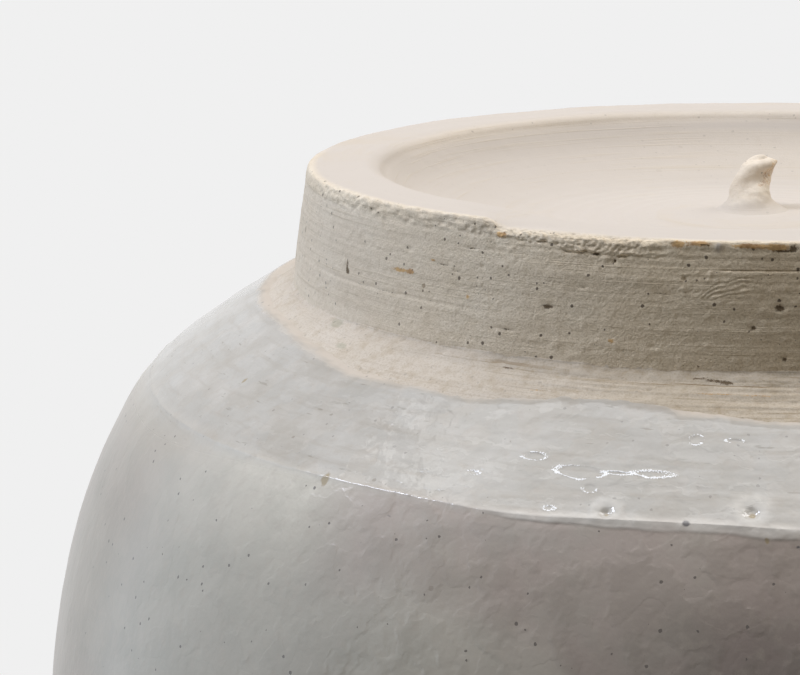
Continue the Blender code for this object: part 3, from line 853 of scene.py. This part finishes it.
# %% [markdown]
# Both coats are painted as milky all over, with the painted shade and the blush of the wall carried on round
# the lip.
# Then the free face of the inside is worked with the spiral of the fingers. It fades out towards the lip
# and the middle.

# %% Lip and inside: paint and finger spiral
FINGER_PITCH = 6.5
for piece in (lip_glaze, inner_glaze):
    spots, angle, radius, height = places_of(piece)
    paint(piece, "milk", 1)
    for name in ("roll", "shoulder", "crinkle_and_glint", "tan", "dark"):
        paint(piece, name, 0)
    paint(piece, "painted_light_and_shade", 0.5 - low_shade(angle) * smooth(52.0, 54.0, radius))
    paint(piece, "blush", blush_of(spots, angle, height))
inner_face = radius < np.interp(height, (8, 29, 45, 55, 65.7), (49.7, 49.5, 47.6, 43.4, 5.0))
lined = smooth(12, 18, height) * inner_face
path = np.where(height > 58, radius * 0.9, height)
fingers = 0.22 * np.sin(math.tau * (path / FINGER_PITCH + angle / 360)) * smooth(3, 12, radius)
move_out(inner_glaze, lined * (fingers + 0.12 * grain(spots, 7.0)))
print("inside: a finger mark every %.1f mm" % FINGER_PITCH)

# %% [markdown]
# ## Colours and nodes
# Colours are written as they look on a screen, so one function turns a hex value into the linear numbers
# that the shader wants. One more function adds a node, sets it and links it, so that each finish below
# reads as a list. What feeds a node is given in the order of its inputs, or by name or number where some of
# them are left out. A Mix node keeps its factor at input 0, its colours at inputs 6 and 7 and its result at
# output 2.

# %% Material helpers
def ink(code):
    """Linear colour of an sRGB hex value."""
    channels = [int(code[index:index + 2], 16) / 255 for index in (1, 3, 5)]
    return [c / 12.92 if c <= 0.04045 else ((c + 0.055) / 1.055) ** 2.4 for c in channels] + [1.0]


def per(size):
    """Texture scale that makes a pattern of that size in millimetres."""
    return 1 / (size * MM)


def add(tree, kind, feeds=(), out=0, **settings):
    """One output of a new node. Each feed is a value for an input, or an output socket to link from."""
    node = tree.nodes.new("ShaderNode" + kind)
    for name, value in settings.items():
        setattr(node, name, value)
    pairs = feeds.items() if isinstance(feeds, dict) else enumerate(feeds)
    for place, value in pairs:
        socket = node.inputs[place]
        if isinstance(value, bpy.types.NodeSocket):
            tree.links.new(value, socket)
        else:
            socket.default_value = value
    return node.outputs[out]


def new_finish(name):
    """An empty material: its node tree, its shader and the object coordinates that its patterns read."""
    material = bpy.data.materials.new(name)
    material.use_nodes = True
    tree = material.node_tree
    return material, tree, tree.nodes["Principled BSDF"], add(tree, "TexCoord", out="Object")


print("a 2 mm pattern has the scale %.0f" % per(2.0))

# %% [markdown]
# Three patterns come back in both finishes: noise drawn out level by the turning wheel, coordinates that
# are pushed about so that an outline gets ragged, and round specks of burnt iron, one in some of the cells
# of a Voronoi texture.

# %% Pattern helpers
def drawn_out(tree, coordinates, along, across, detail):
    """Level noise, its grain given in millimetres: long round the pot, thin up and down."""
    scale = (1 / along, 1 / along, 1 / across)
    level = add(tree, "Mapping", {"Vector": coordinates, "Scale": scale})
    feeds = {"Vector": level, "Scale": per(1.0), "Detail": detail, "Roughness": 0.6}
    return add(tree, "TexNoise", feeds)


def jogged(tree, coordinates, size, reach):
    """Coordinates pushed about by noise of a size, by up to a reach, both in millimetres."""
    push = add(tree, "TexNoise", {"Vector": coordinates, "Scale": per(size), "Detail": 2.0}, "Color")
    push = add(tree, "VectorMath", [push, (0.5, 0.5, 0.5)], operation="SUBTRACT")
    push = add(tree, "VectorMath", {0: push, "Scale": reach * MM}, operation="SCALE")
    return add(tree, "VectorMath", [coordinates, push], operation="ADD")


def specks(tree, coordinates, spacing, size, share):
    """Round specks up to a size, in a share of the cells at a spacing. Both are in millimetres."""
    away = add(tree, "TexVoronoi", {"Vector": coordinates, "Scale": per(spacing)}, "Distance", feature="F1")
    green = add(tree, "SeparateColor", [away.node.outputs["Color"]], "Green")
    radius = add(tree, "Math", [green, size / spacing], operation="MULTIPLY")
    inside = add(tree, "Math", [away, radius], operation="LESS_THAN")
    kept = add(tree, "Math", [green.node.outputs["Red"], share], operation="LESS_THAN")
    return add(tree, "Math", [inside, kept], operation="MULTIPLY")


print("patterns: level noise, pushed coordinates, specks")

# %% [markdown]
# A finish is built up like paint: a ground colour, then thin layers over it, each with a share that says
# where it lies. The numbers painted on the mesh come in through Attribute nodes. Relief is built up in
# layers too, one Bump node on the next.

# %% Layer helpers
def tint(tree, share, amount, under, code):
    """A colour laid over another one: share is where, amount is how much."""
    laid = add(tree, "Math", [share, amount], operation="MULTIPLY")
    return add(tree, "Mix", {0: laid, 6: under, 7: ink(code)}, 2, data_type="RGBA")


def stain(tree, name, ragged):
    """A painted mark with a crisp, ragged edge instead of a soft one."""
    rough = add(tree, "Math", [ragged, 0.5], operation="SUBTRACT")
    rough = add(tree, "Math", [rough, 1.2], operation="MULTIPLY")
    mark = add(tree, "Attribute", out="Fac", attribute_name=name)
    mark = add(tree, "Math", [mark, rough], operation="ADD")
    return add(tree, "MapRange", [mark, 0.34, 0.66])


def with_painted_light(tree, colour):
    """A colour scaled by the painted light and shade: by 0.5 at 0, by 1 at 0.5 and by 1.5 at 1."""
    painted_light_and_shade = add(tree, "Attribute", out="Fac", attribute_name="painted_light_and_shade")
    share = add(tree, "MapRange", [painted_light_and_shade, 0.0, 1.0, 0.5, 1.5])
    return add(tree, "VectorMath", {0: colour, "Scale": share}, operation="SCALE")


def relief(tree, shader, layers):
    """Fine relief for a shader. Each layer is a height, a strength and a depth in millimetres."""
    feeds = {}
    for height, strength, depth in layers:
        feeds.update({"Height": height, "Strength": strength, "Distance": depth * MM})
        feeds["Normal"] = add(tree, "Bump", feeds)
    tree.links.new(feeds["Normal"], shader.inputs["Normal"])


print("layers: tint, stain, tone, relief")

# %% [markdown]
# ## Bare stoneware
# Sandy stoneware fired without glaze: a warm grey, greyer and smoother where it is worn, and a little
# warmer on the right, a painted tint for the warm light in its shade. Iron in the clay burns out as dark
# specks, and ochre stains gather where the tool dragged it. The iron stain also carries painted shade in
# grooves and cracks, and painted light and shade scale the whole colour. It is quite matt, so roughness is
# high. The slip of the collar is the same clay without its sand, so both come from one function. The grains
# are in millimetres, and the finest of 0.15 mm is as coarse as it needs to be to show.

# %% Clay finish
def stoneware(name, dark, middle, pale, worn, drag=0.0):
    """Bare gritty clay: three tones, a worn tone, iron specks, ochre stains and, on slip, dragged threads."""
    material, tree, shader, spot = new_finish(name)
    wear = add(tree, "Attribute", out="Fac", attribute_name="worn")
    gritty = add(tree, "MapRange", [wear, 0.0, 1.0, 1.0 - 0.5 * drag, 0.06])
    grains = []
    for size, detail, roughness in ((5.0, 3.0, 0.6), (1.1, 3.0, 0.6), (0.15, 2.0, 0.6), (0.34, 4.0, 0.7)):
        feeds = {"Vector": spot, "Scale": per(size), "Detail": detail, "Roughness": roughness}
        grains.append(add(tree, "TexNoise", feeds))
    broad, patch, fine, sandy = grains
    cloudy = add(tree, "MapRange", [broad, 0.35, 0.7])
    colour = add(tree, "Mix", {0: cloudy, 6: ink(middle), 7: ink(pale)}, 2, data_type="RGBA")
    colour = tint(tree, add(tree, "MapRange", [patch, 0.50, 0.70]), 0.4, colour, dark)
    colour = add(tree, "Mix", {0: wear, 6: colour, 7: ink(worn)}, 2, data_type="RGBA")
    pores = add(tree, "MapRange", [fine, 0.52, 0.34])
    pores = add(tree, "Math", [pores, gritty], operation="MULTIPLY")
    colour = tint(tree, pores, 0.6, colour, dark)
    streaks = add(tree, "MapRange", [drawn_out(tree, spot, 14.0, 0.17, 3.0), 0.56, 0.72])
    if drag:
        dragged = add(tree, "Attribute", out="Fac", attribute_name="drag")
        streaks = add(tree, "Math", [streaks, dragged], operation="MULTIPLY")
    colour = tint(tree, streaks, 0.30 + 0.4 * drag, colour, dark)
    if drag:
        threads = add(tree, "MapRange", [drawn_out(tree, spot, 9.0, 0.11, 2.0), 0.59, 0.66])
        threads = add(tree, "Math", [threads, dragged], operation="MULTIPLY")
        colour = tint(tree, threads, drag, colour, "#8b7350")
        colour = tint(tree, stain(tree, "puddle", patch), 0.45, colour, "#a9a68f")
    # Painted light and shade scale the colour.
    colour = with_painted_light(tree, colour)
    # Painted warm shade: a warmer tint towards the right side, which lies in shade.
    rightward = add(tree, "SeparateXYZ", [spot], "X")
    warm = add(tree, "MapRange", [rightward, -18 * MM, -6 * MM])
    unworn = add(tree, "MapRange", [wear, 0.6, 0.0])
    warm = add(tree, "Math", [warm, unworn], operation="MULTIPLY")
    feeds = {0: warm, 6: colour, 7: ink("#fdfaf3")}
    colour = add(tree, "Mix", feeds, 2, data_type="RGBA", blend_type="MULTIPLY")
    rugged = jogged(tree, spot, 0.15, 0.12)
    brown = (1.6, 0.30, 0.16, 0.7 - 0.4 * drag, "#8a775e")
    black = (0.60, 0.13, 0.6, 0.8 - 0.6 * drag, "#453a2f")
    for spacing, size, share, amount, code in (brown, black):
        burnt = add(tree, "Math", [specks(tree, rugged, spacing, size, share), gritty], operation="MULTIPLY")
        colour = tint(tree, burnt, amount, colour, code)
    rusty = add(tree, "MapRange", [patch, 0.42, 0.62])
    ochre = add(tree, "Mix", {0: rusty, 6: ink("#d0a668"), 7: ink("#a06f38")}, 2, data_type="RGBA")
    stained = add(tree, "Math", [stain(tree, "ochre", fine), 0.8], operation="MULTIPLY")
    colour = add(tree, "Mix", {0: stained, 6: colour, 7: ochre}, 2, data_type="RGBA")
    # The iron stain also carries the painted shade of grooves, scratches and the crack.
    colour = tint(tree, stain(tree, "iron_and_crease_shade", fine), 0.88, colour, "#594730")
    tree.links.new(colour, shader.inputs["Base Color"])
    shader.inputs["Roughness"].default_value = 0.92
    shader.inputs["Specular IOR Level"].default_value = 0.25
    tooth = add(tree, "Math", [sandy, gritty], operation="MULTIPLY")
    grit = add(tree, "Math", [fine, gritty], operation="MULTIPLY")
    relief(tree, shader, ((tooth, 0.6, 0.13), (grit, 0.6, 0.06), (streaks, 0.30 + 0.1 * drag, 0.06)))
    return material


clay = stoneware("bare_stoneware", "#cbbba2", "#e6d7c1", "#ecdfcb", "#ccc2b7")
slip = stoneware("smoothed_slip", "#b3a084", "#d4c8b8", "#dacfc1", "#e0d6ca", 0.8)
print("clay finishes:", clay.name, slip.name)

# %% [markdown]
# ## Milky glaze
# The glaze is a glassy coat with fine white matter in it. Where it is thin the clay tints it, where it
# pools along the hip it is nearly white, and on the wall a faint pink blush comes through. Under the gloss
# it is an opaque colour, so a plain glossy shader stands for it. First come the painted numbers and the
# patterns: soft clouds, the fine grain of the melt, the lines where one run flowed over another, and
# patches and level laps, which are calmer on the left.

# %% Glaze finish: patterns
glaze, tree, shader, spot = new_finish("milky_stoneware_glaze")
painted = {}
for name in ("shoulder", "blush", "milk", "roll", "crinkle_and_glint"):
    painted[name] = add(tree, "Attribute", out="Fac", attribute_name=name)
MELT = {"cloud": (spot, 4.0, 3.0, 0.6), "fine": (spot, 0.8, 4.0, 0.6), "glint_dots": (spot, 0.11, 1.0, 0.6),
        "flow": (jogged(tree, spot, 1.5, 1.6), 3.4, 1.0, 0.4),
        "patch": (jogged(tree, spot, 1.2, 1.2), 2.6, 2.0, 0.5),
        "skin": (spot, 1.0, 2.0, 0.6), "pore": (spot, 0.35, 2.0, 0.6), "wrinkle": (spot, 0.22, 2.0, 0.6)}
melt = {}
for name, (coordinates, size, detail, roughness) in MELT.items():
    feeds = {"Vector": coordinates, "Scale": per(size), "Detail": detail, "Roughness": roughness}
    melt[name] = add(tree, "TexNoise", feeds)
level = drawn_out(tree, spot, 7.0, 0.45, 3.0)
run_edge = add(tree, "MapRange", [melt["flow"], 0.49, 0.515])
rightward = add(tree, "SeparateXYZ", [spot], "X")
calm_left = add(tree, "MapRange", [rightward, -45 * MM, -20 * MM])
patch = add(tree, "MapRange", [melt["patch"], 0.44, 0.56])
patch = add(tree, "Math", [patch, calm_left], operation="MULTIPLY")
laps = drawn_out(tree, jogged(tree, spot, 0.9, 0.9), 4.0, 0.8, 3.0)
laps = add(tree, "MapRange", [laps, 0.56, 0.60])
laps = add(tree, "Math", [laps, calm_left], operation="MULTIPLY")
print("glaze patterns:", ", ".join(melt))

# %% [markdown]
# The wall goes from grey to pink by the painted blush. The shoulder is a lighter grey, with pale laps and
# dark nicks. The painted shoulder mixes the two, and painted light and shade then make them lighter or
# darker.

# %% Glaze finish: wall and shoulder
feeds = {0: painted["blush"], 6: ink("#b8b1a3"), 7: ink("#9b8a82")}
wall_colour = add(tree, "Mix", feeds, 2, data_type="RGBA")
cloudy = add(tree, "MapRange", [melt["cloud"], 0.45, 0.70])
pinkish = add(tree, "MapRange", [painted["blush"], -0.2, 0.8])
pink_patch = add(tree, "Math", [patch, pinkish], operation="MULTIPLY")
LOWER = [(cloudy, 0.35, "#9e9a8d"), (pink_patch, 0.30, "#857b70"), (run_edge, 0.07, "#8c857b")]
for share, amount, code in LOWER:
    wall_colour = tint(tree, share, amount, wall_colour, code)

cloudy = add(tree, "MapRange", [melt["cloud"], 0.35, 0.68])
upper_colour = add(tree, "Mix", {0: cloudy, 6: ink("#b6afa4"), 7: ink("#c7c1b8")}, 2, data_type="RGBA")
lines = add(tree, "MapRange", [level, 0.52, 0.70])
nicks = add(tree, "MapRange", [drawn_out(tree, spot, 2.2, 0.22, 2.0), 0.68, 0.74])
UPPER = [(run_edge, 0.25, "#b9b7b1"), (laps, 0.28, "#d8d3ca"), (lines, 0.5, "#b0a79a"),
         (nicks, 0.5, "#8f8779")]
for share, amount, code in UPPER:
    upper_colour = tint(tree, share, amount, upper_colour, code)

feeds = {0: painted["shoulder"], 6: wall_colour, 7: upper_colour}
# Painted light and shade scale the colour.
colour = with_painted_light(tree, add(tree, "Mix", feeds, 2, data_type="RGBA"))
colour = tint(tree, add(tree, "MapRange", [melt["fine"], 0.52, 0.70]), 0.30, colour, "#b1a597")
print("glaze layers: %d on the wall, %d on the shoulder" % (len(LOWER), len(UPPER)))

# %% [markdown]
# Towards its upper edge the coat thins out in level streaks, until the clay shows through. The roll along
# the hip is nearly white, partly thick glaze and partly painted light. Painted glints, white beads, follow
# the crinkled outlines of the dimples, drawn 0.11 mm wide, as coarse as they need to be to show.

# %% Glaze finish: thin edge, roll and painted glints
streaky = add(tree, "Math", [level, 0.5], operation="SUBTRACT")
streaky = add(tree, "Math", [painted["milk"], streaky], operation="ADD")
milk = add(tree, "MapRange", [streaky, 0.30, 0.80])
thinner = add(tree, "MapRange", [level, 0.45, 0.65])
thin_colour = add(tree, "Mix", {0: thinner, 6: ink("#d6cabb"), 7: ink("#ccc0b0")}, 2, data_type="RGBA")
colour = add(tree, "Mix", {0: milk, 6: thin_colour, 7: colour}, 2, data_type="RGBA")
# The roll's pale tint is partly thick glaze and partly painted light.
colour = tint(tree, painted["roll"], 0.85, colour, "#e2dcd2")
# Painted glints: white beads along the crinkled outlines.
painted_glints = add(tree, "Math", [melt["glint_dots"], 0.5], operation="SUBTRACT")
painted_glints = add(tree, "Math", [painted_glints, 2.4], operation="MULTIPLY")
painted_glints = add(tree, "Math", [painted["crinkle_and_glint"], painted_glints], operation="ADD")
painted_glints = add(tree, "MapRange", [painted_glints, 0.55, 0.80])
outlined = add(tree, "MapRange", [painted["crinkle_and_glint"], 0.1, 0.3])
painted_glints = add(tree, "Math", [painted_glints, outlined], operation="MULTIPLY")
colour = tint(tree, painted_glints, 0.95, colour, "#ffffff")
print("glaze so far: %d nodes" % len(tree.nodes))

# %% [markdown]
# Iron from the clay burns through the coat as brown and black specks, fewer of the black ones on the
# shoulder. Single tan and dark spots have places of their own and are painted.

# %% Glaze finish: specks and spots
rugged = jogged(tree, spot, 0.2, 0.15)
colour = tint(tree, specks(tree, rugged, 2.2, 0.32, 0.20), 0.45, colour, "#85786a")
fewer = add(tree, "MapRange", [painted["shoulder"], 1.6, -0.1])
black = add(tree, "Math", [specks(tree, rugged, 0.75, 0.13, 0.42), fewer], operation="MULTIPLY")
colour = tint(tree, black, 0.85, colour, "#4f4842")
colour = tint(tree, stain(tree, "tan", melt["fine"]), 0.75, colour, "#a08c66")
colour = tint(tree, stain(tree, "dark", melt["fine"]), 0.8, colour, "#4c4a4e")
tree.links.new(colour, shader.inputs["Base Color"])
print("glaze with specks: %d nodes" % len(tree.nodes))

# %% [markdown]
# Fired glaze is glass, with an IOR of about 1.5. It is glossiest on the shoulder, and its thin edge is
# nearly as dry as the clay. The surface is smooth but not flat, which breaks up the reflections.

# %% Glaze finish: gloss and relief
gloss = add(tree, "MapRange", [painted["shoulder"], 0.0, 1.0, 0.28, 0.14])
dry_edge = add(tree, "MapRange", [milk, 0.9, -0.9])
gloss = add(tree, "Math", [gloss, dry_edge], operation="ADD")
tree.links.new(gloss, shader.inputs["Roughness"])
shader.inputs["IOR"].default_value = 1.5
shine = add(tree, "MapRange", [painted["milk"], 0.5, 1.0])
shine = add(tree, "Math", [shine, 0.5], operation="MULTIPLY")
tree.links.new(shine, shader.inputs["Specular IOR Level"])
lap_steps = add(tree, "Math", [laps, painted["shoulder"]], operation="MULTIPLY")
wrinkles = add(tree, "Math", [melt["wrinkle"], painted["crinkle_and_glint"]], operation="MULTIPLY")
relief(tree, shader, ((melt["skin"], 0.30, 0.12), (melt["pore"], 0.15, 0.05), (run_edge, 0.18, 0.04),
                      (lap_steps, 0.20, 0.04), (patch, 0.50, 0.05), (wrinkles, 0.8, 0.06)))
print("glaze finish: %s, %d nodes" % (glaze.name, len(tree.nodes)))

# %% [markdown]
# ## Dressing the frame
# Every piece takes its finish, rides on the one body that the frame has and stands for one solid of the
# frame.

# %% Finishes and places
DRESS = [(clay_wall, clay, "thrown_bowl", "sandy_stoneware"),
         (foot_ring, clay, "foot_ring", "sandy_stoneware"),
         (peak, clay, "foot_peak", "sandy_stoneware"),
         (collar, slip, "luting_slip", "pale_slip"),
         (outer_glaze, glaze, "outer_glaze", "milky_glaze"),
         (lip_glaze, glaze, "lip_glaze", "milky_glaze"),
         (inner_glaze, glaze, "inner_glaze", "milky_glaze")]
for piece, finish, node, slot in DRESS:
    piece.data.materials.append(finish)
    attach(piece, "root")
    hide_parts(node)
print("dressed pieces:", len(DRESS))

# %% [markdown]
# ## The floor
# The photograph has a plain pale ground with no line in it. A pale floor runs out into a background of the
# same tone. To the eye it is as pale as that background, and to all other light it is a mid grey, so that
# it throws less light up at the wall.

# %% Floor
BACKGROUND = ink("#f0f0f0")
FLOOR_FADE = 0.085
FLOOR_END = 0.125
bpy.ops.object.select_all(action="DESELECT")
bpy.ops.mesh.primitive_circle_add(vertices=96, radius=FLOOR_END, fill_type="NGON", location=(0, 0, 0))
floor = bpy.context.object
floor.name = "studio_floor"
ground, tree, shader, spot = new_finish("pale_studio_floor")
eye_ray = add(tree, "LightPath", out="Is Camera Ray")
floor_colour = add(tree, "Mix", {0: eye_ray, 6: ink("#a0a0a0"), 7: BACKGROUND}, 2, data_type="RGBA")
tree.links.new(floor_colour, shader.inputs["Base Color"])
shader.inputs["Roughness"].default_value = 0.9
reach = add(tree, "VectorMath", [spot], "Value", operation="LENGTH")
fading = add(tree, "MapRange", [reach, FLOOR_FADE, FLOOR_END])
clear = add(tree, "BsdfTransparent")
fade = add(tree, "MixShader", [fading, shader.outputs["BSDF"], clear])
tree.links.new(fade, tree.nodes["Material Output"].inputs["Surface"])
floor.data.materials.append(ground)
print("floor fades out from %.0f to %.0f mm" % (FLOOR_FADE / MM, FLOOR_END / MM))

# %% [markdown]
# ## The light
# A wide soft light hangs overhead. A smaller one stands high on the left, where the hip catches a thin
# gleam from it, and a dim wide one below it fills the left side, so the right side of the wall stays in
# shade. Both left lights are a little cool, like a window. A fourth stands high behind on the right and
# reaches into the foot.

# %% Lights
BOWL_MIDDLE = (0, 0, 0.06)


def soft_light(name, place, size, watts, colour):
    """A square soft light that faces the middle of the bowl."""
    lamp = bpy.data.lights.new(name, "AREA")
    lamp.shape = "SQUARE"
    lamp.size = size
    lamp.energy = watts
    lamp.color = ink(colour)[:3]
    stand = bpy.data.objects.new(name, lamp)
    stand.location = place
    stand.rotation_euler = (Vector(BOWL_MIDDLE) - Vector(place)).to_track_quat("-Z", "Y").to_euler()
    bpy.context.scene.collection.objects.link(stand)


soft_light("left_softbox", (-0.55, 0.016, 0.64), 0.20, 2.85, "#e3ebff")
soft_light("left_fill", (-1.0, 0.0, 0.16), 1.20, 5.3, "#e3f1ff")
soft_light("overhead_softbox", (0, 0, 1.06), 1.20, 8.7, "#ffffff")
soft_light("back_softbox", (0.46, 0.34, 0.60), 0.40, 2.9, "#ffffff")

# %% [markdown]
# ## The background
# The background is even to the eye and in reflections, but it lights the bowl only dimly and warmly. So its
# strength and its colour depend on the kind of ray that meets it.

# %% Background
DIM_STRENGTH = 0.034
world = bpy.data.worlds.new("studio_background")
world.use_nodes = True
bpy.context.scene.world = world
sky = world.node_tree
plain = sky.nodes["Background"]
seen = add(sky, "LightPath", out="Is Camera Ray")
rays = seen.node.outputs
for ray in ("Is Glossy Ray", "Is Transmission Ray"):
    seen = add(sky, "Math", [seen, rays[ray]], operation="MAXIMUM")
strength = add(sky, "MapRange", [seen, 0.0, 1.0, DIM_STRENGTH, 1.0])
sky_colour = add(sky, "Mix", {0: seen, 6: ink("#f0d29c"), 7: BACKGROUND}, 2, data_type="RGBA")
sky.links.new(strength, plain.inputs["Strength"])
sky.links.new(sky_colour, plain.inputs["Color"])
bpy.context.scene.view_settings.view_transform = "Standard"
print("background:", world.name)
